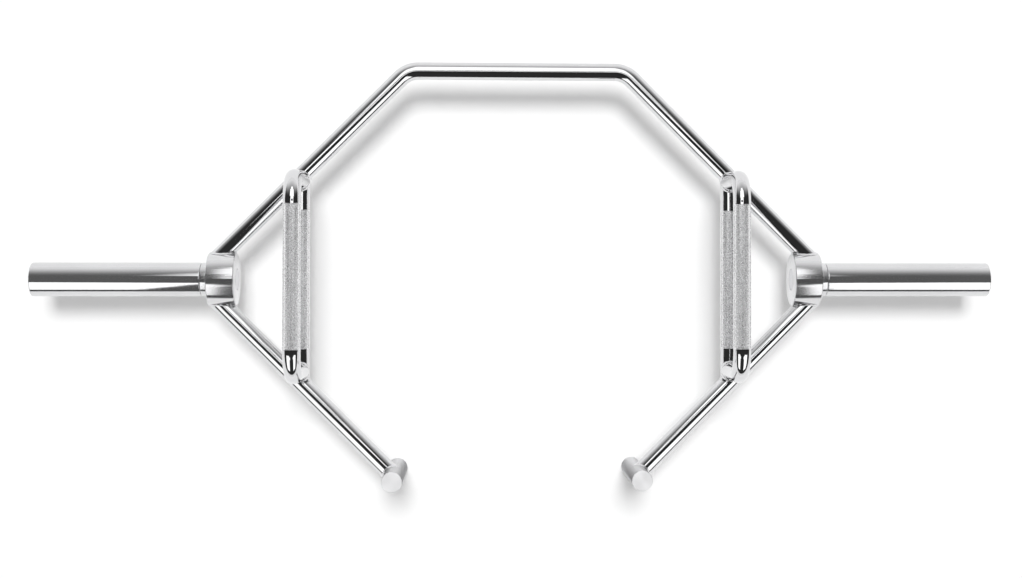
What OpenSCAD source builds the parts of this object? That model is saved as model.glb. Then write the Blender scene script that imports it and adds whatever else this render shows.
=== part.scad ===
// Hex trap bar, open at the rear: a welded bar frame with a level and a raised pair of grips,
// two posts as feet, and a plate sleeve that turns on a spindle at each side.
// X runs along the sleeves, +Y towards the crossbar, +Z up. The origin is the middle of the footprint,
// level with the lower ends of the posts.

/* [Frame] */
// Diameter of the round bar that the frame is made of
frame_d = 26; // [20:0.1:34]
// From the sleeve axis forward to the centreline of the crossbar
crossbar_y = 310.5; // [270:0.5:360]
// Angle between the arms and the sleeve axis
arm_angle = 45; // [42:0.5:48]
// Bend radius of the two front corners, on the centreline
corner_r = 38; // [30:1:60]
// How much the bar is drawn in round a front corner
bend_draw = 0.1; // [0.05:0.05:0.5]

/* [Hubs] */
// Distance between the inner faces of the two hubs
hub_gap = 826; // [800:1:900]
// Diameter of a hub
hub_d = 78; // [70:1:100]
// Length of a hub along the sleeve axis
hub_len = 41; // [41:0.5:60]
// Bevel on the rims of a hub
hub_bevel = 2; // [0.5:0.1:2.5]

/* [Sleeves] */
// Overall length of the bar, over both sleeve ends
bar_len = 1422; // [1350:1:1800]
// Outside diameter of a sleeve, to suit plates with a 50.4 mm hole
sleeve_d = 50; // [49:0.1:50]
// Bore of a sleeve, where the bushings are pressed in
sleeve_bore = 38; // [36:0.5:40]
// Diameter of the pockets at both ends of a sleeve, for the flanges and the cap
pocket_d = 44; // [42:0.5:46]
// Bevel on the outer edges of a sleeve
sleeve_bevel = 1.5; // [0.5:0.1:2]
// Length of the collar between hub and sleeve
collar_len = 10; // [6:0.5:14]
// Depth of the collar's seat in the outer face of the hub
collar_seat = 2; // [1:0.5:4]
// Bevel on the outer edge of a collar
collar_bevel = 0.8; // [0.3:0.1:1.5]

/* [Spindles] */
// Diameter of a spindle
spindle_d = 32; // [26:0.5:33]
// Bevel on the ends of a spindle
spindle_bevel = 1; // [0.5:0.1:1.5]
// Length of a bushing without its flange
bush_len = 32; // [20:1:60]
// Thickness of a bushing's flange
flange_t = 3; // [2:0.5:4]
// Thickness of the thrust washer
washer_t = 3; // [2:0.5:4]
// Thickness of the retaining ring
ring_t = 2; // [1.5:0.1:2.5]
// Depth of the groove that the retaining ring sits in
groove_depth = 1.2; // [0.8:0.1:1.6]
// How far the retaining ring stands out of its groove
ring_out = 2.4; // [1.5:0.1:2.8]
// Opening between the two ends of the retaining ring, in degrees
ring_open = 40; // [20:1:60]
// Length of spindle beyond the groove
spindle_tail = 4; // [3:0.5:6]
// Thickness of the sleeve's end cap
cap_t = 6; // [4:0.5:8]
// How far the end cap sits below the end of the sleeve
cap_recess = 0.8; // [0.4:0.1:2]

/* [Grips] */
// Diameter of the bar that all four grips are made of
grip_d = 25.4; // [22:0.1:32]
// Distance between the left and the right pair of grips, centre to centre
grip_spacing = 638; // [560:1:680]
// Height of the raised grips above the level grips
handle_h = 120; // [90:1:150]
// Distance between the two legs of a raised handle, centre to centre
handle_span = 282; // [262:1:292]
// How far the raised handles sit forward of the sleeve axis
handle_shift = 4.5; // [0:0.5:8]
// Bend radius of a raised handle, on its centreline
handle_r = 36; // [30:1:60]

/* [Posts] */
// Diameter of a post
post_d = 30; // [28:0.5:40]
// From the sleeve axis back to the centreline of the posts
post_y = 291.5; // [250:0.5:340]
// How far a post stands above the plane of the frame
post_up = 72; // [40:1:120]
// How far a post reaches below the plane of the frame
post_down = 103; // [60:1:140]
// Bevel on the ends of a post
post_bevel = 1; // [0.5:0.1:2]

/* [Fits] */
// Width of the weld beads
weld = 3; // [2:0.1:4]
// Gap all round between a spindle and its bushings
running_gap = 0.05; // [0.02:0.01:0.1]
// Gap at the thrust faces on both ends of a sleeve
thrust_gap = 0.3; // [0.1:0.05:0.5]
// Gap round the thrust washer, in the pocket and on the spindle
washer_gap = 0.5; // [0.2:0.05:0.8]
// Gap of the retaining ring in its groove
groove_gap = 0.1; // [0.05:0.01:0.2]
// Gap between the end of the spindle and the end cap
cap_gap = 2; // [1:0.1:4]

/* [Hidden] */
$fn = 96;

// The sleeve axis in the row's own frame
axis_y = (post_y + post_d / 2 - crossbar_y - frame_d / 2) / 2;
axis_z = post_down;

// Places along the sleeve axis, for the right-hand side
hub_in = hub_gap / 2;
hub_out = hub_in + hub_len;
hub_mid = hub_in + hub_len / 2;
sleeve_in = hub_out + collar_len + thrust_gap;
sleeve_out = bar_len / 2;
cap_in = sleeve_out - cap_recess - cap_t;
spindle_out = cap_in - cap_gap;
groove_out = spindle_out - spindle_tail;
groove_in = groove_out - ring_t - 2 * groove_gap;
washer_in = groove_in - washer_t;
flange_out = washer_in - thrust_gap;

// The arms leave the middle of the hub's rim at the arm angle
function arm_x(y) = hub_mid - (y - hub_d / 2) / tan(arm_angle);
function arm_y(x) = hub_d / 2 + (hub_mid - x) * tan(arm_angle);
corner_x = arm_x(crossbar_y);
corner_cut = corner_r * tan(arm_angle / 2);
post_x = arm_x(post_y);
grip_x = grip_spacing / 2;
// How far an arm runs on into the hub before it is coped
arm_run_in = frame_d * 0.7;
// How far a cut runs on past the face that it opens
past = 1;

// Everything below is drawn on the right-hand side, round the middle of the sleeve axis.
module right_side() translate([0, axis_y, axis_z]) children();
module left_side() right_side() mirror([1, 0, 0]) children();

// A round bar from point a towards point b in the plane of the frame
module flat_bar(a, b, d) {
    run = b - a;
    translate([a[0], a[1], 0])
        rotate([0, 0, atan2(run[1], run[0])])
            rotate([0, 90, 0])
                cylinder(d = d, h = norm(run));
}

// A round bar that follows the arm from beyond the hub's rim to the distance y from the sleeve axis.
// The side is 1 for the front arm and -1 for the rear arm.
module arm_bar(side, y, d) {
    hub_x = hub_mid + arm_run_in * cos(arm_angle);
    hub_y = hub_d / 2 - arm_run_in * sin(arm_angle);
    flat_bar([hub_x, side * hub_y], [arm_x(y), side * y], d);
}

// An arm that is long enough to cut or wrap anything that stands on it
module arm_tool(side, d) arm_bar(side, crossbar_y, d);

// A cylinder along the sleeve axis between two places, with a bevel at each end
module turned(x0, x1, d, bevel_in, bevel_out) {
    r = d / 2;
    rotate([0, 90, 0])
        rotate_extrude()
            polygon([
                [0, x0],
                [r - bevel_in, x0],
                [r, x0 + bevel_in],
                [r, x1 - bevel_out],
                [r - bevel_out, x1],
                [0, x1]
            ]);
}

module along_axis(x0, x1, d) translate([x0, 0, 0]) rotate([0, 90, 0]) cylinder(d = d, h = x1 - x0);

// The space that the hub's rim takes, without end, for coping the arms
module hub_tool(d) along_axis(hub_in - frame_d, hub_out + frame_d, d);

module post_tool(d) translate([post_x, -post_y, -post_down]) cylinder(d = d, h = post_down + post_up);

module grip_tool(d) {
    reach = arm_y(grip_x - grip_d);
    translate([grip_x, reach, 0]) rotate([90, 0, 0]) cylinder(d = d, h = 2 * reach);
}

// The space between the centrelines of the front and rear arm, beside the level grip
module between_arms() {
    x0 = grip_x - grip_d;
    x1 = grip_x + grip_d;
    translate([0, 0, -frame_d])
        linear_extrude(2 * frame_d)
            polygon([[x0, arm_y(x0)], [x1, arm_y(x1)], [x1, -arm_y(x1)], [x0, -arm_y(x0)]]);
}

module leg_tool(side, d) {
    translate([grip_x, handle_shift + side * handle_span / 2, 0]) cylinder(d = d, h = handle_h - handle_r);
}

// A front corner and the arm that runs from it to the hub. The bend is drawn a little thinner than the bar.
module bent_arm() {
    arm_len = (crossbar_y - hub_d / 2) / sin(arm_angle) - corner_cut + arm_run_in;
    difference() {
        translate([corner_x - corner_cut, crossbar_y - corner_r, 0])
            rotate([0, 0, 90 - arm_angle]) {
                rotate_extrude(angle = arm_angle)
                    translate([corner_r, 0])
                        circle(d = frame_d - bend_draw);
                translate([corner_r, 0, 0]) rotate([90, 0, 0]) cylinder(d = frame_d, h = arm_len);
            }
        hub_tool(hub_d);
    }
}

module front_frame_bar() {
    crossbar_len = 2 * (corner_x - corner_cut);
    color("silver") {
        translate([crossbar_len / 2, crossbar_y, 0])
            rotate([0, 0, 90])
                rotate([-90, 0, 0])
                    cylinder(d = frame_d, h = crossbar_len);
        bent_arm();
        mirror([1, 0, 0]) bent_arm();
    }
}

module rear_arm() {
    color("silver")
        difference() {
            arm_bar(-1, post_y, frame_d);
            hub_tool(hub_d);
            post_tool(post_d);
        }
}

module hub() {
    color("gainsboro")
        difference() {
            turned(hub_in, hub_out, hub_d, hub_bevel, hub_bevel);
            along_axis(hub_in - past, hub_out + past, spindle_d);
            along_axis(hub_out - collar_seat, hub_out + past, sleeve_d);
        }
}

module post() {
    r = post_d / 2;
    color("silver")
        translate([post_x, -post_y, 0])
            rotate_extrude()
                polygon([
                    [0, -post_down],
                    [r - post_bevel, -post_down],
                    [r, post_bevel - post_down],
                    [r, post_up - post_bevel],
                    [r - post_bevel, post_up],
                    [0, post_up]
                ]);
}

module level_grip() {
    color("darkgray")
        difference() {
            intersection() {
                grip_tool(grip_d);
                between_arms();
            }
            arm_tool(1, frame_d);
            arm_tool(-1, frame_d);
        }
}

// One half of a raised handle: a leg, a bend and half of the grip
module handle_half(side) {
    straight = handle_span / 2 - handle_r;
    translate([grip_x, handle_shift, 0])
        rotate([0, 0, side * 90]) {
            translate([0, 0, handle_h]) rotate([0, 90, 0]) cylinder(d = grip_d, h = straight);
            translate([straight, 0, handle_h - handle_r])
                rotate([90, 0, 0])
                    rotate_extrude(angle = 90)
                        translate([handle_r, 0])
                            circle(d = grip_d);
            translate([handle_span / 2, 0, 0]) cylinder(d = grip_d, h = handle_h - handle_r);
        }
}

module raised_handle() {
    color("darkgray")
        difference() {
            union() {
                handle_half(1);
                handle_half(-1);
            }
            arm_tool(1, frame_d);
            arm_tool(-1, frame_d);
            grip_tool(grip_d);
        }
}

module spindle() {
    r = spindle_d / 2;
    color("lightslategray")
        difference() {
            turned(hub_in, spindle_out, spindle_d, spindle_bevel, spindle_bevel);
            rotate([0, 90, 0])
                rotate_extrude()
                    translate([r - groove_depth, groove_in])
                        square([groove_depth + past, groove_out - groove_in]);
        }
}

// The collar sits in the hub's face, so that a plate comes to rest on the face all round it
module thrust_collar() {
    r = sleeve_d / 2;
    x0 = hub_out - collar_seat;
    x1 = hub_out + collar_len;
    color("gainsboro")
        rotate([0, 90, 0])
            rotate_extrude()
                polygon([
                    [spindle_d / 2, x0],
                    [r, x0],
                    [r, x1 - collar_bevel],
                    [r - collar_bevel, x1],
                    [spindle_d / 2, x1]
                ]);
}

module sleeve() {
    color("silver")
        difference() {
            turned(sleeve_in, sleeve_out, sleeve_d, sleeve_bevel, sleeve_bevel);
            along_axis(sleeve_in - past, sleeve_out + past, sleeve_bore);
            along_axis(sleeve_in - past, sleeve_in + flange_t, pocket_d);
            along_axis(flange_out - flange_t, sleeve_out + past, pocket_d);
        }
}

// A bushing whose flange faces one way: its outer face is at x, and the body runs on in the direction way
module bushing(x, way) {
    bore = spindle_d + 2 * running_gap;
    total = bush_len + flange_t;
    color("goldenrod")
        translate([x, 0, 0])
            rotate([0, way * 90, 0])
                difference() {
                    union() {
                        cylinder(d = pocket_d, h = flange_t);
                        cylinder(d = sleeve_bore, h = total);
                    }
                    translate([0, 0, -past]) cylinder(d = bore, h = total + 2 * past);
                }
}

module inner_bushing() bushing(sleeve_in, 1);

module outer_bushing() bushing(flange_out, -1);

module thrust_washer() {
    color("lightgray")
        difference() {
            along_axis(washer_in, groove_in, pocket_d - 2 * washer_gap);
            along_axis(washer_in - past, groove_in + past, spindle_d + 2 * running_gap);
        }
}

module retaining_ring() {
    r_in = spindle_d / 2 - groove_depth + groove_gap;
    r_out = spindle_d / 2 + ring_out;
    color("dimgray")
        translate([groove_in + groove_gap, 0, 0])
            rotate([0, 90, 0])
                rotate([0, 0, ring_open / 2])
                    rotate_extrude(angle = 360 - ring_open)
                        translate([r_in, 0])
                            square([r_out - r_in, ring_t]);
}

module sleeve_cap() {
    color("gainsboro") along_axis(cap_in, sleeve_out - cap_recess, pocket_d);
}

// Each bead is the corner of metal within one bead's width of both surfaces that it joins.
module hub_weld(side) {
    intersection() {
        difference() {
            arm_tool(side, frame_d + 2 * weld);
            arm_tool(side, frame_d);
            hub_tool(hub_d);
        }
        along_axis(hub_in + hub_bevel, hub_out - hub_bevel, hub_d + 2 * weld);
    }
}

module hub_welds() {
    color("gray") {
        hub_weld(1);
        hub_weld(-1);
    }
}

// The corner between the level grip and an arm, out to one bead's width from both
module grip_corner(side) {
    intersection() {
        grip_tool(grip_d + 2 * weld);
        arm_tool(side, frame_d + 2 * weld);
        between_arms();
    }
}

module grip_weld(side) {
    difference() {
        grip_corner(side);
        grip_tool(grip_d);
        arm_tool(side, frame_d);
        leg_tool(side, grip_d);
    }
}

module grip_welds() {
    color("gray") {
        grip_weld(1);
        grip_weld(-1);
    }
}

// The bead round a leg of the raised handle, on the arm and the level grip, broken where their own bead runs
module handle_weld(side) {
    difference() {
        intersection() {
            leg_tool(side, grip_d + 2 * weld);
            union() {
                arm_tool(side, frame_d + 2 * weld);
                grip_tool(grip_d + 2 * weld);
            }
        }
        leg_tool(side, grip_d);
        arm_tool(side, frame_d);
        grip_tool(grip_d);
        grip_corner(side);
    }
}

module handle_welds() {
    color("gray") {
        handle_weld(1);
        handle_weld(-1);
    }
}

module post_weld() {
    color("gray")
        difference() {
            intersection() {
                arm_bar(-1, post_y, frame_d + 2 * weld);
                post_tool(post_d + 2 * weld);
            }
            arm_bar(-1, post_y, frame_d);
            post_tool(post_d);
        }
}

right_side() front_frame_bar();
left_side() rear_arm();  // left_rear_arm
right_side() rear_arm();  // right_rear_arm
left_side() hub();  // left_hub
right_side() hub();  // right_hub
left_side() post();  // left_post
right_side() post();  // right_post
left_side() level_grip();  // left_level_grip
right_side() level_grip();  // right_level_grip
left_side() raised_handle();  // left_raised_handle
right_side() raised_handle();  // right_raised_handle
left_side() spindle();  // left_spindle
right_side() spindle();  // right_spindle
left_side() thrust_collar();  // left_thrust_collar
right_side() thrust_collar();  // right_thrust_collar
left_side() sleeve();  // left_sleeve
right_side() sleeve();  // right_sleeve
left_side() inner_bushing();  // left_inner_bushing
right_side() inner_bushing();  // right_inner_bushing
left_side() outer_bushing();  // left_outer_bushing
right_side() outer_bushing();  // right_outer_bushing
left_side() thrust_washer();  // left_thrust_washer
right_side() thrust_washer();  // right_thrust_washer
left_side() retaining_ring();  // left_retaining_ring
right_side() retaining_ring();  // right_retaining_ring
left_side() sleeve_cap();  // left_sleeve_cap
right_side() sleeve_cap();  // right_sleeve_cap
left_side() hub_welds();  // left_hub_welds
right_side() hub_welds();  // right_hub_welds
left_side() grip_welds();  // left_grip_welds
right_side() grip_welds();  // right_grip_welds
left_side() handle_welds();  // left_handle_welds
right_side() handle_welds();  // right_handle_welds
left_side() post_weld();  // left_post_weld
right_side() post_weld();  // right_post_weld
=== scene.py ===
import math

import bmesh
import bpy
from mathutils import Matrix, Vector

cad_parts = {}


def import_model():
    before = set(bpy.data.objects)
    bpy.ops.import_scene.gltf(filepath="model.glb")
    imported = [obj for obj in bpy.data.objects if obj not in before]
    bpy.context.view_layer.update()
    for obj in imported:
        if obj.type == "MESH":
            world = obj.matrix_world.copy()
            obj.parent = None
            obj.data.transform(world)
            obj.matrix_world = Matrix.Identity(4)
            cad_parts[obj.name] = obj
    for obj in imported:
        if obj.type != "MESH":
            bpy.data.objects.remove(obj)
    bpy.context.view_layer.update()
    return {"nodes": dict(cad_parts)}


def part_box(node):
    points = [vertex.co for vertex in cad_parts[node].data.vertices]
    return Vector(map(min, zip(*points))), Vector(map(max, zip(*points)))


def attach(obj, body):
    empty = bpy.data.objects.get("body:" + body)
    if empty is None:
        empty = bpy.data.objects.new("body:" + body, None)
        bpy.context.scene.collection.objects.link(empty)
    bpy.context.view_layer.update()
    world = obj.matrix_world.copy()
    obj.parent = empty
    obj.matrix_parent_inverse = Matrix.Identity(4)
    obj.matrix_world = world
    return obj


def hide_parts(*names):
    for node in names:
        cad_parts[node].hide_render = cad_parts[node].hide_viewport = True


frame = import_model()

NODES = frame["nodes"]
SIDES = (("left", -1), ("right", 1))
MM = 0.001


# Sizes that the solids give, in metres
def box_size(node):
    low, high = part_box(node)
    return high - low


def box_middle(node):
    low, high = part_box(node)
    return (low + high) / 2


AXIS = box_middle("right_sleeve")
AXIS_Y, AXIS_Z = AXIS.y, AXIS.z
SLEEVE_R = box_size("right_sleeve").y / 2
SLEEVE_IN, SLEEVE_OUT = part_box("right_sleeve")[0].x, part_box("right_sleeve")[1].x
HUB_R = box_size("right_hub").y / 2
HUB_IN, HUB_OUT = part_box("right_hub")[0].x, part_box("right_hub")[1].x
COLLAR_IN, COLLAR_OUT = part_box("right_thrust_collar")[0].x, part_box("right_thrust_collar")[1].x
CAP_R = box_size("right_sleeve_cap").y / 2
CAP_IN, CAP_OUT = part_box("right_sleeve_cap")[0].x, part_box("right_sleeve_cap")[1].x
SPINDLE_R = box_size("right_spindle").y / 2
FRAME_R = box_size("front_frame_bar").z / 2
GRIP_R = box_size("right_level_grip").z / 2
GRIP_X = box_middle("right_level_grip").x
HANDLE_LOW, HANDLE_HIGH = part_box("right_raised_handle")
HANDLE_Z = HANDLE_HIGH.z - GRIP_R
LEG_FRONT = HANDLE_HIGH.y - GRIP_R
LEG_REAR = HANDLE_LOW.y + GRIP_R
POST_R = box_size("right_post").x / 2
POST_X, POST_Y = box_middle("right_post").x, box_middle("right_post").y
POST_LOW, POST_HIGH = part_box("right_post")[0].z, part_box("right_post")[1].z
CROSSBAR_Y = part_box("front_frame_bar")[1].y - FRAME_R

# Sizes that the boxes don't give
QUARTER = math.radians(90)
ROOT2 = math.sqrt(2)
ARM_ANGLE = math.radians(45)
# Radii of the bends, along the bar's centreline
CORNER_R = 38 * MM
HANDLE_BEND_R = 36 * MM
HUB_BEVEL = 2 * MM
SLEEVE_BEVEL = 1.5 * MM
COLLAR_BEVEL = 0.8 * MM
POST_BEVEL = 1 * MM
SLEEVE_MOUTH_R = CAP_R
MOUTH_BEVEL = 0.4 * MM
CAP_BEVEL = 0.4 * MM
# A ring this far inside a bevel keeps the reflections straight up to it
EDGE_HOLD = 0.3 * MM
# Leg of a weld bead, the length of its ripples and how deep its root lies in the joint
WELD = 3 * MM
WELD_RIPPLE = 1.7 * MM
WELD_ROOT = 0.5 * MM
# The knurl's length, how many diamonds go round it, their pitch along the bar and their depth
KNURL_LEN = 205 * MM
KNURL_ROUND = 46
KNURL_PITCH = 1.8 * MM
KNURL_DEPTH = 0.35 * MM
# How much of a diamond's width its flat top takes
KNURL_FLAT = 0.32
# How far from the knurl the first and second rings of the plain bar lie
KNURL_GAP = 0.4 * MM
GRIP_SMOOTH = 8 * MM
# Height above the sleeve axis down to which a handle's leg is plain round bar
LEG_STRAIGHT_Z = 20 * MM
# How far a coped end sinks into the piece that it is welded to
COPE_SINK = 0.15 * MM
# Play of the spindle in a bore and of the cap in the sleeve's mouth, and how deep a bore is drawn
BORE_PLAY = 0.02 * MM
BORE_SHOWN = 6 * MM
# Rings left by facing an end on a lathe: their spacing, their depth, the plain margin and the pip
FACING_STEP = 0.45 * MM
FACING_GROOVE = 0.012 * MM
FACING_EDGE = 0.3 * MM
CENTRE_R = 0.05 * MM
# Edges sharper than this many degrees stay sharp: on turned pieces, and on the others
FINE_SHARP = 25
SHARP = 35
# Shape of a weld bead: the least part of its full leg in a narrow joint, how far its middle stands out,
# how far its ripples bow forward, how round they are, their height and the part of it at the toes
BEAD_LEAST = 0.55
BEAD_CROWN = 0.16
RIPPLE_BOW = 0.55
RIPPLE_ROUND = 0.6
RIPPLE_HEIGHT = 0.07
RIPPLE_AT_TOE = 0.4
# Slow changes of a bead's width along it: size, rate per leg's length and phase
BEAD_WOBBLES = ((0.05, 3.1, 0.0), (0.04, 1.3, 2.0))
# How far a hub's bead stays inside the hub's two faces
BEAD_INSET = HUB_BEVEL / 3
# Heights this close count as equal, and a normal on the level grip rises by at least LEAST_RISE
SAME_HEIGHT = 1e-6
LEAST_RISE = 1e-5

# Facets of the meshes
ROUND = 96
SLEEVE_ROUND = 128
BEAD_ROUND = 260
GRIP_ROUND = 2 * KNURL_ROUND
BAR_RINGS = 39
CORNER_RINGS = 24
BEND_RINGS = 28
BEVEL_RINGS = 4
WELD_RINGS = 8

# An arm is the line on which |x| plus the distance from the sleeve axis, in plan, is ARM_REACH
ARM_REACH = (HUB_IN + HUB_OUT) / 2 + HUB_R
# How far behind the sleeve axis the posts stand
POST_BEHIND = AXIS_Y - POST_Y


# Materials
NOISE_DETAIL = 3.0
# The part of a noise's range over which a colour goes from dark to light
NOISE_RANGE = (0.3, 0.7)
# Scale of the slow drift in colour and gloss, and how much gloss it moves
DRIFT_SCALE = 9.0
DRIFT_SPREAD = 0.03
# Turns the spread of a highlight from along the tool marks to across them
ACROSS_MARKS = 0.25


class Nodes:
    """Short names for building a shader tree."""

    def __init__(self, tree):
        self.tree = tree
        self.tree.nodes.clear()

    def add(self, kind, **settings):
        """A new node. A setting goes to the socket of its name, or else to the property of its name."""
        node = self.tree.nodes.new(kind)
        for key, value in settings.items():
            if key in node.inputs:
                node.inputs[key].default_value = value
            else:
                setattr(node, key, value)
        return node

    def link(self, out, into):
        self.tree.links.new(out, into)

    def math(self, operation, *values):
        node = self.tree.nodes.new("ShaderNodeMath")
        node.operation = operation
        for slot, value in zip(node.inputs, values):
            if isinstance(value, (int, float)):
                slot.default_value = value
            else:
                self.link(value, slot)
        return node.outputs[0]

    def smooth(self, value, start, end, low=0.0, high=1.0):
        """A soft step from low to high while value goes from start to end."""
        node = self.tree.nodes.new("ShaderNodeMapRange")
        node.interpolation_type = "SMOOTHSTEP"
        for slot, number in (("From Min", start), ("From Max", end), ("To Min", low), ("To Max", high)):
            node.inputs[slot].default_value = number
        self.link(value, node.inputs["Value"])
        return node.outputs[0]

    def noise(self, where, scale, stretch=(1, 1, 1)):
        """Noise drawn out along the axes on which stretch has its smallest numbers."""
        mapping = self.add("ShaderNodeMapping")
        mapping.inputs["Scale"].default_value = stretch
        self.link(where, mapping.inputs["Vector"])
        node = self.add("ShaderNodeTexNoise", Scale=scale, Detail=NOISE_DETAIL)
        self.link(mapping.outputs[0], node.inputs["Vector"])
        return node.outputs["Fac"]

    def colour_between(self, value, dark, light):
        ramp = self.add("ShaderNodeValToRGB")
        for stop, colour, position in zip(ramp.color_ramp.elements, (dark, light), NOISE_RANGE):
            stop.color = (*colour, 1)
            stop.position = position
        self.link(value, ramp.inputs[0])
        return ramp.outputs[0]

    def mix(self, factor, first, second):
        """The first shader where factor is 0, and the second where it is 1."""
        node = self.add("ShaderNodeMixShader")
        self.link(factor, node.inputs[0])
        self.link(first.outputs[0], node.inputs[1])
        self.link(second.outputs[0], node.inputs[2])
        return node

    def show(self, shader, output="ShaderNodeOutputMaterial"):
        """Makes a shader the result of the tree."""
        self.link(shader.outputs[0], self.add(output).inputs[0])


def new_material(name):
    material = bpy.data.materials.new(name)
    material.use_nodes = True
    return material, Nodes(material.node_tree)


def metal(name, dark, light, rough, grain, bump, stretch=(1, 1, 1), grain_scale=400, anisotropy=0.0,
          about=None, metallic=1.0):
    """A plated or bare metal: slow colour drift, fine grain in its gloss and faint marks of its making.

    dark and light are the ends of the drift, bump is the marks' height, about is the axis round which a
    turned finish runs, and metallic below 1 adds a matt share, as fine scratches do.
    """
    material, n = new_material(name)
    where = n.add("ShaderNodeTexCoord").outputs["Object"]
    drift = n.noise(where, DRIFT_SCALE)
    fine = n.noise(where, grain_scale, stretch)
    shader = n.add("ShaderNodeBsdfPrincipled", Metallic=metallic)
    n.link(n.colour_between(drift, dark, light), shader.inputs["Base Color"])
    gloss = n.math("ADD", n.math("MULTIPLY", fine, grain), n.math("MULTIPLY", drift, DRIFT_SPREAD))
    n.link(n.math("ADD", gloss, rough - (grain + DRIFT_SPREAD) / 2), shader.inputs["Roughness"])
    shader.inputs["Anisotropic"].default_value = anisotropy
    shader.inputs["Anisotropic Rotation"].default_value = ACROSS_MARKS
    if about:
        tangent = n.add("ShaderNodeTangent", direction_type="RADIAL", axis=about)
        n.link(tangent.outputs[0], shader.inputs["Tangent"])
    relief = n.add("ShaderNodeBump", Strength=1.0, Distance=bump)
    n.link(fine, relief.inputs["Height"])
    n.link(relief.outputs[0], shader.inputs["Normal"])
    n.show(shader)
    return material


PLATE = ((0.69, 0.69, 0.70), (0.73, 0.73, 0.74))
CHROME = metal("polished_chrome", *PLATE, rough=0.06, grain=0.05, bump=0.004 * MM)
SLEEVE_CHROME = metal("ground_and_plated_sleeve", *PLATE, rough=0.06, grain=0.05, bump=0.004 * MM,
                      metallic=0.9)
DRAWN = metal("chrome_on_drawn_bar", *PLATE, rough=0.07, grain=0.06, bump=0.010 * MM, grain_scale=260)
TURNED = metal("turned_chrome", *PLATE, rough=0.16, grain=0.05, bump=0.008 * MM, stretch=(1, 8, 8),
               grain_scale=120, anisotropy=0.97, about="X", metallic=0.92)
FACED = metal("faced_end_chrome", (0.93, 0.93, 0.94), (0.97, 0.97, 0.98), rough=0.30, grain=0.08,
              bump=0.006 * MM, anisotropy=0.9, about="Z", metallic=0.25)
POST_SIDE = metal("turned_post_chrome", (0.70, 0.70, 0.71), (0.75, 0.75, 0.76), rough=0.60, grain=0.05,
                  bump=0.006 * MM, stretch=(1, 1, 8), grain_scale=120, anisotropy=0.98, about="Z")
KNURLED = metal("knurled_chrome", (0.88, 0.88, 0.89), (0.94, 0.94, 0.95), rough=0.28, grain=0.25,
                bump=0.04 * MM, grain_scale=420)
BEAD = metal("plated_weld", (0.66, 0.66, 0.67), (0.74, 0.74, 0.75), rough=0.14, grain=0.12,
             bump=0.05 * MM, grain_scale=700)
GROUND = metal("ground_steel", (0.52, 0.52, 0.54), (0.62, 0.62, 0.64), rough=0.22, grain=0.12,
               bump=0.008 * MM, stretch=(14, 1, 1))
BRONZE = metal("bearing_bronze", (0.60, 0.38, 0.17), (0.72, 0.48, 0.24), rough=0.34, grain=0.14,
               bump=0.02 * MM, stretch=(10, 1, 1))
SPRING = metal("blued_spring_steel", (0.05, 0.055, 0.07), (0.10, 0.105, 0.12), rough=0.32, grain=0.10,
               bump=0.01 * MM)


# Meshes
def new_object(name, data):
    piece = bpy.data.objects.new(name, data)
    bpy.context.scene.collection.objects.link(piece)
    return piece


def make(name, surface, material, body, node, sharp=SHARP):
    """A smooth mesh piece that stands for one node. Edges sharper than sharp, in degrees, stay sharp."""
    mesh = bpy.data.meshes.new(name)
    mesh.from_pydata([tuple(p) for p in surface.points], [], surface.faces)
    mesh.validate()
    work = bmesh.new()
    work.from_mesh(mesh)
    bmesh.ops.recalc_face_normals(work, faces=work.faces)
    work.to_mesh(mesh)
    work.free()
    mesh.materials.append(material)
    mesh.polygons.foreach_set("use_smooth", [True] * len(mesh.polygons))
    piece = new_object(name, mesh)
    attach(piece, body)
    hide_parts(node)
    if sharp:
        mesh.set_sharp_from_angle(angle=math.radians(sharp))
    return piece


class Surface:
    """Collects rings of points and the faces between them."""

    def __init__(self):
        self.points = []
        self.faces = []

    def ring(self, points):
        start = len(self.points)
        self.points.extend(points)
        return range(start, start + len(points))

    def bridge(self, a, b):
        n = len(a)
        for i in range(n):
            j = (i + 1) % n
            self.faces.append((a[i], a[j], b[j], b[i]))

    def cap(self, a, flip=False):
        order = list(a)
        self.faces.append(order[::-1] if flip else order)

    def tube(self, rings):
        """A bar through the rings, with both ends closed."""
        ids = [self.ring(r) for r in rings]
        for a, b in zip(ids, ids[1:]):
            self.bridge(a, b)
        self.cap(ids[0], flip=True)
        self.cap(ids[-1])

    def closed(self, rings):
        """A ring-shaped body whose last ring meets its first."""
        ids = [self.ring(r) for r in rings]
        for a, b in zip(ids, ids[1:] + ids[:1]):
            self.bridge(a, b)


def circle(centre, u, v, radius, count=ROUND):
    """Points round a circle, from u towards v."""
    angles = [2 * math.pi * i / count for i in range(count)]
    return [centre + radius * (math.cos(a) * u + math.sin(a) * v) for a in angles]


def place(surface, side):
    """Moves a surface drawn round the sleeve axis on the right to its own side."""
    surface.points = [Vector((side * p.x, AXIS_Y + p.y, AXIS_Z + p.z)) for p in surface.points]


X, Y, Z = Vector((1, 0, 0)), Vector((0, 1, 0)), Vector((0, 0, 1))


def lathe(profile, along, u, v, origin=Vector((0, 0, 0))):
    """A turned piece from (distance, radius) pairs along an axis."""
    surface = Surface()
    surface.tube([circle(origin + along * d, u, v, r) for d, r in profile])
    return surface


def rounded(x0, x1, r, bevel):
    """The profile of a cylinder with a quarter-round bevel at each end."""
    turns = [QUARTER * i / BEVEL_RINGS for i in range(BEVEL_RINGS + 1)]
    start = [(x0 + bevel * (1 - math.cos(a)), r - bevel * (1 - math.sin(a))) for a in turns]
    end = [(x0 + x1 - x, radius) for x, radius in reversed(start)]
    return start + end


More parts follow.
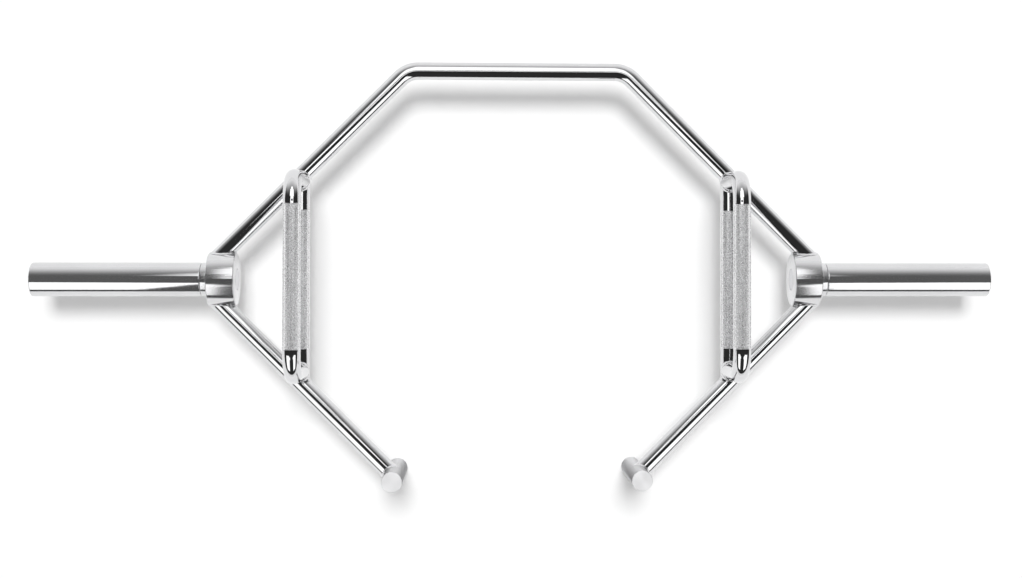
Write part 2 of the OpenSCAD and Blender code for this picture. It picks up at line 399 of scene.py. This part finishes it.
def facing_rings(at, r_from, r_to, groove):
    """Fine rings left by facing a bar's end on a lathe. groove is their depth, signed along the axis."""
    count = max(2, int(abs(r_to - r_from) / FACING_STEP))
    profile = []
    for i in range(count + 1):
        profile.append((at + groove * (i % 2), r_from + (r_to - r_from) * i / count))
    return profile


# The frame's bars. side_y is 1 for a front arm and -1 for a rear arm.
def arm_out(side_y):
    """The direction of an arm from its hub."""
    return Vector((-math.cos(ARM_ANGLE), side_y * math.sin(ARM_ANGLE), 0))


def arm_side(side_y):
    """The direction across an arm in plan, away from the middle of the frame."""
    return Vector((math.sin(ARM_ANGLE), side_y * math.cos(ARM_ANGLE), 0))


def arm_point(distance, side_y):
    """A point on an arm's centreline, given by how far it is from the sleeve axis in plan."""
    return Vector((ARM_REACH - distance, side_y * distance, 0))


def arm_ring(distance, side_y, count=ROUND):
    """A ring round the arm, starting on the side away from the middle of the frame."""
    return circle(arm_point(distance, side_y), arm_side(side_y), Z * side_y, FRAME_R, count)


def coped_on_hub(ring, side_y, sink=COPE_SINK):
    """Slides each point of a ring along its arm to the hub's rim."""
    along = arm_out(side_y)
    out = []
    for p in ring:
        rim = math.sqrt((HUB_R - sink) ** 2 - p.z ** 2)
        out.append(p + along * ((rim - side_y * p.y) / (side_y * along.y)))
    return out


def coped_on_post(ring, sink=COPE_SINK):
    """Pulls each point of a ring round the post's axis back along the rear arm to the post's side."""
    centre = arm_point(POST_BEHIND, -1)
    out = []
    for p in ring:
        off = (p - centre).dot(arm_side(-1))
        out.append(p - arm_out(-1) * math.sqrt((POST_R - sink) ** 2 - off ** 2))
    return out


def arm_flank(x, z, sink=0.0):
    """How far from the sleeve axis, in plan, a line along Y at x and z enters the arm."""
    return ARM_REACH - x - ROOT2 * math.sqrt((FRAME_R - sink) ** 2 - z ** 2)


def off_arm(x, y):
    """How far a point lies from an arm's centreline in plan, positive towards the middle of the frame."""
    return (ARM_REACH - x - abs(y)) / ROOT2


def bar_height(radius, off):
    """Height of a lying bar's surface at a distance from its centreline."""
    return math.sqrt(max(0.0, radius ** 2 - off ** 2))


def seat_height(x, y):
    """Height of the arm or level grip under a point of a leg, above the sleeve axis."""
    off = off_arm(x, y)
    grip = bar_height(GRIP_R, x - GRIP_X) if off > 0 else 0.0
    return max(bar_height(FRAME_R, off), grip)


def front_bar():
    """The crossbar and both front arms in one length: the right half and its mirror image."""
    cut = CORNER_R * math.tan(ARM_ANGLE / 2)
    crossbar = CROSSBAR_Y - AXIS_Y
    corner_x = ARM_REACH - crossbar
    arc_x = corner_x - cut
    centre = Vector((arc_x, crossbar - CORNER_R, 0))
    rings = [coped_on_hub(arm_ring(HUB_R, 1), 1)]
    arm_end = crossbar - cut * math.sin(ARM_ANGLE)
    for i in range(1, BAR_RINGS + 1):
        rings.append(arm_ring(HUB_R + (arm_end - HUB_R) * i / BAR_RINGS, 1))
    for i in range(1, CORNER_RINGS + 1):
        a = QUARTER - ARM_ANGLE + ARM_ANGLE * i / CORNER_RINGS
        out = Vector((math.cos(a), math.sin(a), 0))
        rings.append(circle(centre + CORNER_R * out, out, Z, FRAME_R))
    for i in range(1, BAR_RINGS + 1):
        rings.append(circle(Vector((arc_x * (1 - i / BAR_RINGS), crossbar, 0)), Y, Z, FRAME_R))
    mirrored = [[Vector((-p.x, p.y, p.z)) for p in ring] for ring in reversed(rings[:-1])]
    surface = Surface()
    surface.tube(rings + mirrored)
    place(surface, 1)
    make("front_bar", surface, DRAWN, "frame", "front_frame_bar")


def rear_bar(name, side):
    """A rear arm, coped on the hub and on the post."""
    rings = [coped_on_hub(arm_ring(HUB_R, -1), -1)]
    straight = POST_BEHIND - HUB_R - POST_R
    for i in range(1, BAR_RINGS + 1):
        rings.append(arm_ring(HUB_R + straight * i / BAR_RINGS, -1))
    rings.append(coped_on_post(arm_ring(POST_BEHIND, -1)))
    surface = Surface()
    surface.tube(rings)
    place(surface, side)
    make(f"{name}_rear_bar", surface, DRAWN, "frame", f"{name}_rear_arm")


def hub_body(name, side):
    """The hub with its bore, the collar's seat, and rings from facing on both ends."""
    bore = SPINDLE_R + BORE_PLAY
    rim_r = HUB_R - HUB_BEVEL - FACING_EDGE
    inner = [(HUB_IN + BORE_SHOWN, bore), (HUB_IN, bore)]
    inner += facing_rings(HUB_IN, bore + FACING_EDGE, rim_r, FACING_GROOVE)
    outer = facing_rings(HUB_OUT, rim_r, SLEEVE_R + FACING_EDGE, -FACING_GROOVE)
    outer += [(HUB_OUT, SLEEVE_R), (COLLAR_IN, SLEEVE_R), (COLLAR_IN, bore),
              (COLLAR_IN - BORE_SHOWN, bore)]
    surface = Surface()
    profile = inner + rounded(HUB_IN, HUB_OUT, HUB_R, HUB_BEVEL) + outer
    surface.closed([circle(X * p, Y, Z, r, SLEEVE_ROUND) for p, r in profile])
    place(surface, side)
    make(f"{name}_hub_body", surface, TURNED, "frame", f"{name}_hub", FINE_SHARP)


def post_bar(name, side):
    """A post with facing rings on both ends, which get a finish of their own."""
    origin = Vector((POST_X, -POST_BEHIND, -AXIS_Z))
    face_r = POST_R - POST_BEVEL - FACING_EDGE
    low = facing_rings(POST_LOW, CENTRE_R, face_r, FACING_GROOVE)
    high = facing_rings(POST_HIGH, face_r, CENTRE_R, -FACING_GROOVE)
    surface = lathe(low + rounded(POST_LOW, POST_HIGH, POST_R, POST_BEVEL) + high, Z, X, Y, origin)
    place(surface, side)
    node = f"{name}_post"
    piece = make(f"{name}_post_bar", surface, POST_SIDE, "frame", node, FINE_SHARP)
    piece.data.materials.append(FACED)
    for face in piece.data.polygons:
        if abs(face.normal.z) > math.cos(ARM_ANGLE):
            face.material_index = 1


# Grips
def knurl(surface, y0, y1, centre, first, last):
    """Two crossing sets of grooves as small pyramids, between two rings of the plain bar."""
    rows = 2 * int(round((y1 - y0) / KNURL_PITCH))
    low = GRIP_R - KNURL_DEPTH
    turn = 2 * math.pi / KNURL_ROUND

    def at(row, column, radius):
        a = turn * column
        y = y0 + (y1 - y0) * row / rows
        return Vector((centre.x + radius * math.cos(a), y, centre.z + radius * math.sin(a)))

    crossings = []
    for row in range(rows + 1):
        half = 0.5 * (row % 2)
        crossings.append(surface.ring([at(row, j + half, low) for j in range(KNURL_ROUND)]))
    for row in range(1, rows):
        here, below, above = crossings[row], crossings[row - 1], crossings[row + 1]
        half = 0.5 * (row % 2)
        wide, long = 0.5 * KNURL_FLAT, KNURL_FLAT
        lefts = surface.ring([at(row, j + half + 0.5 - wide, GRIP_R) for j in range(KNURL_ROUND)])
        rights = surface.ring([at(row, j + half + 0.5 + wide, GRIP_R) for j in range(KNURL_ROUND)])
        lows = surface.ring([at(row - long, j + half + 0.5, GRIP_R) for j in range(KNURL_ROUND)])
        highs = surface.ring([at(row + long, j + half + 0.5, GRIP_R) for j in range(KNURL_ROUND)])
        for j in range(KNURL_ROUND):
            right = (j + 1) % KNURL_ROUND
            across = j if row % 2 == 0 else right
            a, b, c, d = here[j], below[across], here[right], above[across]
            surface.faces.append((lefts[j], lows[j], rights[j], highs[j]))
            surface.faces.append((a, b, lows[j], lefts[j]))
            surface.faces.append((b, c, rights[j], lows[j]))
            surface.faces.append((c, d, highs[j], rights[j]))
            surface.faces.append((d, a, lefts[j], highs[j]))
    close_knurl(surface, crossings[0], crossings[1], first, False)
    close_knurl(surface, crossings[-1], crossings[-2], last, True)


def close_knurl(surface, edge, inner, plain, flip):
    """Half pyramids at the end of the knurl, and the small groove between it and the plain bar."""
    per = len(plain) // KNURL_ROUND
    for j in range(KNURL_ROUND):
        right = (j + 1) % KNURL_ROUND
        pyramid = (edge[j], edge[right], inner[j])
        fan = [plain[(j * per + k) % len(plain)] for k in range(per + 1)]
        groove = (edge[right], edge[j], *fan)
        for face in (pyramid, groove):
            surface.faces.append(face[::-1] if flip else face)


def grip_ring(y, z):
    """A ring round a grip that lies along Y."""
    return circle(Vector((GRIP_X, y, z)), X, Z, GRIP_R, GRIP_ROUND)


def level_grip(name, side):
    """The straight grip between the arms, coped to them, with its knurl in the middle."""
    half = KNURL_LEN / 2

    def end(side_y):
        """Rings from the knurl to the arm."""
        smooth = [grip_ring(side_y * (half + d), 0) for d in (KNURL_GAP, GRIP_SMOOTH)]
        around = grip_ring(0, 0)
        return smooth + [[Vector((p.x, side_y * arm_flank(p.x, p.z, COPE_SINK), p.z)) for p in around]]

    surface = Surface()
    rear = [surface.ring(r) for r in end(-1)]
    front = [surface.ring(r) for r in end(1)]
    for rings in (rear, front):
        for a, b in zip(rings, rings[1:]):
            surface.bridge(a, b)
        surface.cap(rings[-1])
    knurl(surface, -half, half, Vector((GRIP_X, 0, 0)), rear[0], front[0])
    finish_grip(surface, side, f"{name}_level_grip_bar", f"{name}_level_grip", 0.0)


def finish_grip(surface, side, piece_name, node, shift):
    """Makes a grip's piece. Its knurl, whose middle lies at shift, has its own finish and flat facets."""
    place(surface, side)
    piece = make(piece_name, surface, CHROME, "frame", node)
    piece.data.materials.append(KNURLED)
    middle = AXIS_Y + shift
    for face in piece.data.polygons:
        if abs(face.center.y - middle) < KNURL_LEN / 2 + KNURL_GAP:
            face.material_index = 1
            face.use_smooth = False


def handle(name, side):
    """The raised grip: knurled bar, two bends and two legs that end on the arm and the level grip."""
    z = HANDLE_Z - AXIS_Z
    front, rear = LEG_FRONT - AXIS_Y, LEG_REAR - AXIS_Y
    shift = (front + rear) / 2
    centre = Vector((GRIP_X, shift, z))
    half = KNURL_LEN / 2
    surface = Surface()

    def leg(side_y, leg_y):
        """Rings from the knurl round the bend and down to the foot."""
        bend = Vector((GRIP_X, leg_y - side_y * HANDLE_BEND_R, z - HANDLE_BEND_R))
        rings = [grip_ring(shift + side_y * (half + KNURL_GAP), z)]
        for i in range(BEND_RINGS + 1):
            a = QUARTER * (1 - i / BEND_RINGS)
            out = Vector((0, side_y * math.cos(a), math.sin(a)))
            rings.append(circle(bend + HANDLE_BEND_R * out, X, out, GRIP_R, GRIP_ROUND))
        ankle = circle(Vector((GRIP_X, leg_y, LEG_STRAIGHT_Z)), X, Y * side_y, GRIP_R, GRIP_ROUND)
        foot = [Vector((p.x, p.y, seat_height(p.x, p.y) - COPE_SINK)) for p in ankle]
        rings += [ankle, foot]
        return [surface.ring(r) for r in rings]

    front_rings = leg(1, front)
    rear_rings = leg(-1, rear)
    for a, b in zip(front_rings, front_rings[1:]):
        surface.bridge(b, a)
    for a, b in zip(rear_rings, rear_rings[1:]):
        surface.bridge(a, b)
    surface.cap(front_rings[-1], flip=True)
    surface.cap(rear_rings[-1])
    knurl(surface, shift - half, shift + half, centre, rear_rings[0], front_rings[0])
    finish_grip(surface, side, f"{name}_raised_grip", f"{name}_raised_handle", shift)


# Plate sleeves
def sleeve_pieces(name, side):
    """A plate sleeve and the cap in its mouth."""
    body = f"{name}_sleeve_assembly"
    rim = rounded(SLEEVE_IN, SLEEVE_OUT, SLEEVE_R, SLEEVE_BEVEL)
    start, stop = SLEEVE_IN + SLEEVE_BEVEL + EDGE_HOLD, SLEEVE_OUT - SLEEVE_BEVEL - EDGE_HOLD
    straight = [(start + (stop - start) * i / BAR_RINGS, SLEEVE_R) for i in range(BAR_RINGS + 1)]
    outside = rim[:BEVEL_RINGS + 1] + straight + rim[BEVEL_RINGS + 1:]
    mouth = [(SLEEVE_OUT, SLEEVE_MOUTH_R + MOUTH_BEVEL), (SLEEVE_OUT - MOUTH_BEVEL, SLEEVE_MOUTH_R),
             (CAP_IN, SLEEVE_MOUTH_R)]
    root = [(SLEEVE_IN + SLEEVE_BEVEL, SLEEVE_MOUTH_R), (SLEEVE_IN, SLEEVE_MOUTH_R)]
    surface = Surface()
    surface.closed([circle(X * p, Y, Z, r, SLEEVE_ROUND) for p, r in root + outside + mouth])
    place(surface, side)
    node = f"{name}_sleeve"
    make(f"{name}_sleeve_tube", surface, SLEEVE_CHROME, body, node, FINE_SHARP)

    face_r = CAP_R - CAP_BEVEL
    profile = [(CAP_IN, CENTRE_R), (CAP_IN, face_r), (CAP_IN + CAP_BEVEL, CAP_R - BORE_PLAY),
               (CAP_OUT - CAP_BEVEL, CAP_R - BORE_PLAY), (CAP_OUT, face_r)]
    profile += facing_rings(CAP_OUT, face_r - FACING_EDGE, CENTRE_R, -FACING_GROOVE)
    surface = lathe(profile, X, Y, Z)
    place(surface, side)
    make(f"{name}_end_cap", surface, TURNED, body, f"{name}_sleeve_cap", FINE_SHARP)


def collar(name, side):
    """The thrust collar between hub and sleeve, rounded at its outer end."""
    bore = SPINDLE_R + BORE_PLAY
    outer_bevel = rounded(COLLAR_IN, COLLAR_OUT, SLEEVE_R, COLLAR_BEVEL)[BEVEL_RINGS + 1:]
    profile = [(COLLAR_IN, bore), (COLLAR_IN, SLEEVE_R)] + outer_bevel + [(COLLAR_OUT, bore)]
    surface = Surface()
    surface.closed([circle(X * p, Y, Z, r, SLEEVE_ROUND) for p, r in profile])
    place(surface, side)
    node = f"{name}_thrust_collar"
    make(f"{name}_collar_ring", surface, TURNED, "frame", node, FINE_SHARP)


# Weld beads
def bead(surface, path, along, across):
    """A rippled bead round a joint. along and across lead away from it over the two surfaces."""
    count = len(path)
    lengths = [0.0]
    for i in range(count):
        lengths.append(lengths[-1] + (path[(i + 1) % count] - path[i]).length)
    waves = round(lengths[-1] / WELD_RIPPLE)
    rings = []
    for i, p in enumerate(path):
        a, b = along[i], across[i]
        opening = a.angle(b)
        reach = WELD * min(1.0, BEAD_LEAST + opening / math.pi)
        wobble = 1.0
        for size, rate, phase in BEAD_WOBBLES:
            wobble += size * math.sin(rate * lengths[i] / WELD + phase)
        ring = [p - WELD_ROOT * (a + b).normalized()]
        for k in range(WELD_RINGS + 1):
            t = k / WELD_RINGS
            crown = math.sin(math.pi * t)
            wave = lengths[i] / lengths[-1] * waves + RIPPLE_BOW * crown
            ripple = RIPPLE_HEIGHT * (abs(math.sin(math.pi * wave)) ** RIPPLE_ROUND - 0.5)
            swell = 1 + BEAD_CROWN * crown + ripple * (RIPPLE_AT_TOE + crown)
            mixed = a * (1 - t) + b * t
            ring.append(p + mixed * reach * wobble * swell)
        rings.append(surface.ring(ring))
    for i in range(count):
        surface.bridge(rings[i], rings[(i + 1) % count])


def tangents(path):
    """The direction of a closed path at each of its points."""
    n = len(path)
    return [(path[(i + 1) % n] - path[i - 1]).normalized() for i in range(n)]


def outward(path, normals, centre):
    """For each point, the direction in the main surface that leads away from the joint."""
    out = []
    for p, t, normal in zip(path, tangents(path), normals):
        d = t.cross(normal).normalized()
        flat = (p - centre) - normal * (p - centre).dot(normal)
        out.append(d if d.dot(flat) > 0 else -d)
    return out


def softened(vectors, reach):
    """Each direction averaged with its neighbours along the joint."""
    n = len(vectors)
    out = []
    for i in range(n):
        near = [vectors[(i + k) % n] for k in range(-reach, reach + 1)]
        out.append(sum(near, Vector((0, 0, 0))).normalized())
    return out


def hub_bead(surface, side_y):
    """The bead of one arm on the hub's rim, kept inside the hub's faces."""
    path = coped_on_hub(arm_ring(HUB_R, side_y, BEAD_ROUND), side_y, 0.0)
    normals = [Vector((0, p.y, p.z)).normalized() for p in path]
    across = outward(path, normals, arm_point(HUB_R, side_y))
    first = len(surface.points)
    bead(surface, path, [arm_out(side_y)] * len(path), across)
    low, high = HUB_IN + BEAD_INSET, HUB_OUT - BEAD_INSET
    for i in range(first, len(surface.points)):
        p = surface.points[i]
        surface.points[i] = Vector((min(max(p.x, low), high), p.y, p.z))


def grip_bead(surface, side_y):
    """The bead of one end of the level grip on its arm."""
    path = []
    for p in circle(Vector((GRIP_X, 0, 0)), X, Z * side_y, GRIP_R, BEAD_ROUND):
        path.append(Vector((p.x, side_y * arm_flank(p.x, p.z), p.z)))
    u = arm_side(side_y)
    foot = arm_point(0, side_y)
    normals = [(u * (p - foot).dot(u) + Z * p.z).normalized() for p in path]
    across = outward(path, normals, Vector((GRIP_X, side_y * (ARM_REACH - GRIP_X), 0)))
    bead(surface, path, [Vector((0, -side_y, 0))] * len(path), softened(across, reach=2))


def leg_bead(surface, side_y, leg_y):
    """The bead of one leg of the raised handle, partly on the arm and partly on the level grip."""
    path = []
    for p in circle(Vector((GRIP_X, leg_y, 0)), X, Y * side_y, GRIP_R, BEAD_ROUND):
        path.append(Vector((p.x, p.y, seat_height(p.x, p.y))))
    inward = -arm_side(side_y)
    normals = []
    for p in path:
        off = off_arm(p.x, p.y)
        on_arm = bar_height(FRAME_R, off) >= p.z - SAME_HEIGHT
        if on_arm:
            normal = inward * off + Z * p.z
        else:
            normal = X * (p.x - GRIP_X) + Z * max(p.z, LEAST_RISE)
        normals.append(normal.normalized())
    centre = sum(path, Vector((0, 0, 0))) / len(path)
    across = softened(outward(path, normals, centre), reach=8)
    bead(surface, path, [Z] * len(path), across)


def post_bead(surface):
    """The bead of the rear arm on the post."""
    back = -arm_out(-1)
    centre = arm_point(POST_BEHIND, -1)
    path = coped_on_post(circle(centre, arm_side(-1), Z, FRAME_R, BEAD_ROUND), 0.0)
    normals = [Vector((p.x - centre.x, p.y - centre.y, 0)).normalized() for p in path]
    across = outward(path, normals, centre + back * POST_R)
    bead(surface, path, [back] * len(path), across)


def beads(name, side):
    """The four groups of beads on one side, each group as one piece."""
    groups = {
        "hub": ((hub_bead, 1), (hub_bead, -1)),
        "grip": ((grip_bead, 1), (grip_bead, -1)),
        "handle": ((leg_bead, 1, LEG_FRONT - AXIS_Y), (leg_bead, -1, LEG_REAR - AXIS_Y)),
        "post": ((post_bead,),),
    }
    for kind, joints in groups.items():
        surface = Surface()
        for draw, *where in joints:
            draw(surface, *where)
        place(surface, side)
        welds = "weld" if len(joints) == 1 else "welds"
        node = f"{name}_{kind}_{welds}"
        make(f"{name}_{kind}_beads", surface, BEAD, "frame", node, sharp=None)


front_bar()
for name, side in SIDES:
    rear_bar(name, side)
    hub_body(name, side)
    post_bar(name, side)
    level_grip(name, side)
    handle(name, side)
    sleeve_pieces(name, side)
    collar(name, side)
    beads(name, side)

# Finishes of the solids that stay
KEPT = {"spindle": GROUND, "inner_bushing": BRONZE, "outer_bushing": BRONZE, "thrust_washer": GROUND,
        "retaining_ring": SPRING}
for name, _ in SIDES:
    for part, material in KEPT.items():
        node = NODES[f"{name}_{part}"]
        for slot in node.material_slots:
            slot.material = material


# Floor, camera and light
# Half the floor's width, which is also its reach to the front, and its reach to the rear
FLOOR_REACH, FLOOR_REAR = 6.0, 1.5
FLOOR_PAINT = (0.82, 0.82, 0.82, 1)
# Keeps the floor white for the camera and for metal without lighting anything
FLOOR_GLOW = 0.17
WHITE = (1, 1, 1, 1)

# The camera, fitted to the bar's edges in the photo
IMAGE_W, IMAGE_H = 1022, 578
CAMERA_PLACE = Vector((-0.0540, -0.0030, 2.4478))
# Pitch, yaw and roll away from straight down, in degrees
CAMERA_TURN = (-0.87, 2.80, -0.03)
SENSOR_MM = 36.0
FOCAL_PX = 1571.6
# Where the camera's axis meets the photo, in pixels from its top left corner
CENTRE_PX = (557.1, 252.0)

# The light wall that metal sees towards +Y, by direction: the height at which it ends, how fast it
# brightens below that and its full light, then how far towards +Y it sets in and is whole
WALL_TOP, WALL_SLOPE, WALL_LIGHT = 0.95, 1.15, 0.92
WALL_SIDE, WALL_TURN = 0.3, 0.9
# The height over which the light below the horizon gives way to the unlit ceiling, and that one's light
HORIZON = 0.02
CEILING_LIGHT = 0.03
# Light from all round on matt surfaces
EVEN_LIGHT = 0.40

# Softboxes over the bar: their height and light, and their corners round the sleeve axis in plan
CARD_HEIGHT = 2.1
CARD_LIGHT = 1.6
FRONT_CARD = ((-1.3, 0.86), (-0.62, 0.86), (-0.62, 0.5), (0.62, 0.5), (0.62, 0.86), (1.3, 0.86),
              (1.3, 2.0), (0.62, 2.1), (0.4, 2.8), (-0.4, 2.8), (-0.62, 2.1), (-1.3, 2.0))
# Distances to the left and right between which the front softbox dims to nothing
FRONT_FADE = (0.78, 1.05)
MIDDLE_CARD = ((-0.66, 0.12), (0.58, 0.12), (0.58, 0.5), (0.38, 0.5), (0.38, 0.3),
               (-0.36, 0.3), (-0.36, 0.5), (-0.66, 0.5))
REAR_CARD = ((0.66, -0.95), (1.3, -0.7), (3.2, -0.9), (5.5, -7.0), (2.1, -7.0), (1.1, -2.4),
             (0.88, -1.25), (0.66, -1.25))

# The lamp: how far it leans from overhead and how wide it is, in degrees, and its strength
SUN_LEAN, SUN_WIDTH, SUN_STRENGTH = 15, 16, 2.12


def floor():
    """A plain pale floor that takes the bar's shadow."""
    mesh = bpy.data.meshes.new("floor")
    corners = [(-FLOOR_REACH, -FLOOR_REAR, 0), (FLOOR_REACH, -FLOOR_REAR, 0),
               (FLOOR_REACH, FLOOR_REACH, 0), (-FLOOR_REACH, FLOOR_REACH, 0)]
    mesh.from_pydata(corners, [], [(0, 1, 2, 3)])
    material, n = new_material("white_floor")
    path = n.add("ShaderNodeLightPath").outputs
    bounced = n.math("ADD", path["Is Glossy Ray"], path["Is Transmission Ray"])
    seen = n.math("MINIMUM", 1.0, n.math("ADD", path["Is Camera Ray"], bounced))
    diffuse = n.add("ShaderNodeBsdfDiffuse", Color=FLOOR_PAINT)
    glow = n.add("ShaderNodeEmission", Color=WHITE)
    n.link(n.math("MULTIPLY", seen, FLOOR_GLOW), glow.inputs["Strength"])
    both = n.add("ShaderNodeAddShader")
    n.link(diffuse.outputs[0], both.inputs[0])
    n.link(glow.outputs[0], both.inputs[1])
    n.show(both)
    mesh.materials.append(material)
    piece = new_object("floor", mesh)


def camera():
    """Looks down on the bar as the photo does."""
    data = bpy.data.cameras.new("camera")
    data.sensor_width = SENSOR_MM
    data.lens = FOCAL_PX / IMAGE_W * data.sensor_width
    data.shift_x = (IMAGE_W / 2 - CENTRE_PX[0]) / IMAGE_W
    data.shift_y = (CENTRE_PX[1] - IMAGE_H / 2) / IMAGE_W
    pitch, yaw, roll = (math.radians(a) for a in CAMERA_TURN)
    turn = Matrix.Rotation(roll, 3, "Z")
    turn = turn @ Matrix.Rotation(pitch, 3, "X") @ Matrix.Rotation(yaw, 3, "Y")
    piece = new_object("camera", data)
    piece.matrix_world = Matrix.Translation(CAMERA_PLACE) @ turn.transposed().to_4x4()
    bpy.context.scene.camera = piece


def world():
    """Even light for matt surfaces, and for metal a dark studio with a light wall towards +Y."""
    made = bpy.data.worlds.new("studio")
    bpy.context.scene.world = made
    made.use_nodes = True
    n = Nodes(made.node_tree)
    way = n.add("ShaderNodeTexCoord").outputs["Generated"]
    parts = n.add("ShaderNodeSeparateXYZ")
    n.link(way, parts.inputs[0])
    _, y, z = parts.outputs
    below_top = n.math("MAXIMUM", n.math("SUBTRACT", WALL_TOP, z), 0.0)
    towards_front = n.smooth(y, WALL_SIDE, WALL_TURN)
    wall = n.math("MULTIPLY", n.math("MULTIPLY", below_top, WALL_SLOPE), towards_front)
    wall = n.math("MINIMUM", wall, WALL_LIGHT)
    low = n.smooth(z, HORIZON, 0.0, CEILING_LIGHT, WALL_LIGHT)
    light = n.math("MAXIMUM", n.math("ADD", wall, CEILING_LIGHT), low)
    studio = n.add("ShaderNodeBackground", Color=WHITE)
    n.link(light, studio.inputs["Strength"])
    even = n.add("ShaderNodeBackground", Color=WHITE, Strength=EVEN_LIGHT)
    white = n.add("ShaderNodeBackground", Color=WHITE, Strength=1.0)
    path = n.add("ShaderNodeLightPath").outputs
    lit = n.mix(path["Is Glossy Ray"], even, studio)
    n.show(n.mix(path["Is Camera Ray"], lit, white), "ShaderNodeOutputWorld")


def card(name, corners, fade=None):
    """A softbox that only metal sees. It can fade out to the left and right."""
    mesh = bpy.data.meshes.new(name)
    points = [(x, AXIS_Y + y, CARD_HEIGHT) for x, y in corners]
    mesh.from_pydata(points, [], [tuple(range(len(points)))])
    material, n = new_material(name)
    shown = n.add("ShaderNodeEmission", Color=WHITE, Strength=CARD_LIGHT)
    if fade:
        parts = n.add("ShaderNodeSeparateXYZ")
        n.link(n.add("ShaderNodeTexCoord").outputs["Object"], parts.inputs[0])
        gone = n.smooth(n.math("ABSOLUTE", parts.outputs[0]), *fade)
        shown = n.mix(gone, shown, n.add("ShaderNodeBsdfTransparent"))
    n.show(shown)
    mesh.materials.append(material)
    piece = new_object(name, mesh)
    for ray in ("camera", "diffuse", "shadow", "transmission"):
        setattr(piece, f"visible_{ray}", False)


def lamp():
    """Soft light from nearly overhead, coming a little from the front. Metal doesn't show it."""
    data = bpy.data.lights.new("overhead_light", "SUN")
    data.energy = SUN_STRENGTH
    data.angle = math.radians(SUN_WIDTH)
    piece = new_object("overhead_light", data)
    piece.rotation_euler = (math.radians(-SUN_LEAN), 0, 0)
    piece.visible_glossy = False


floor()
camera()
world()
card("front_softbox", FRONT_CARD, FRONT_FADE)
card("middle_softbox", MIDDLE_CARD)
for name, side in SIDES:
    card(f"rear_{name}_softbox", [(side * x, y) for x, y in REAR_CARD])
lamp()
bpy.context.scene.view_settings.view_transform = "Standard"
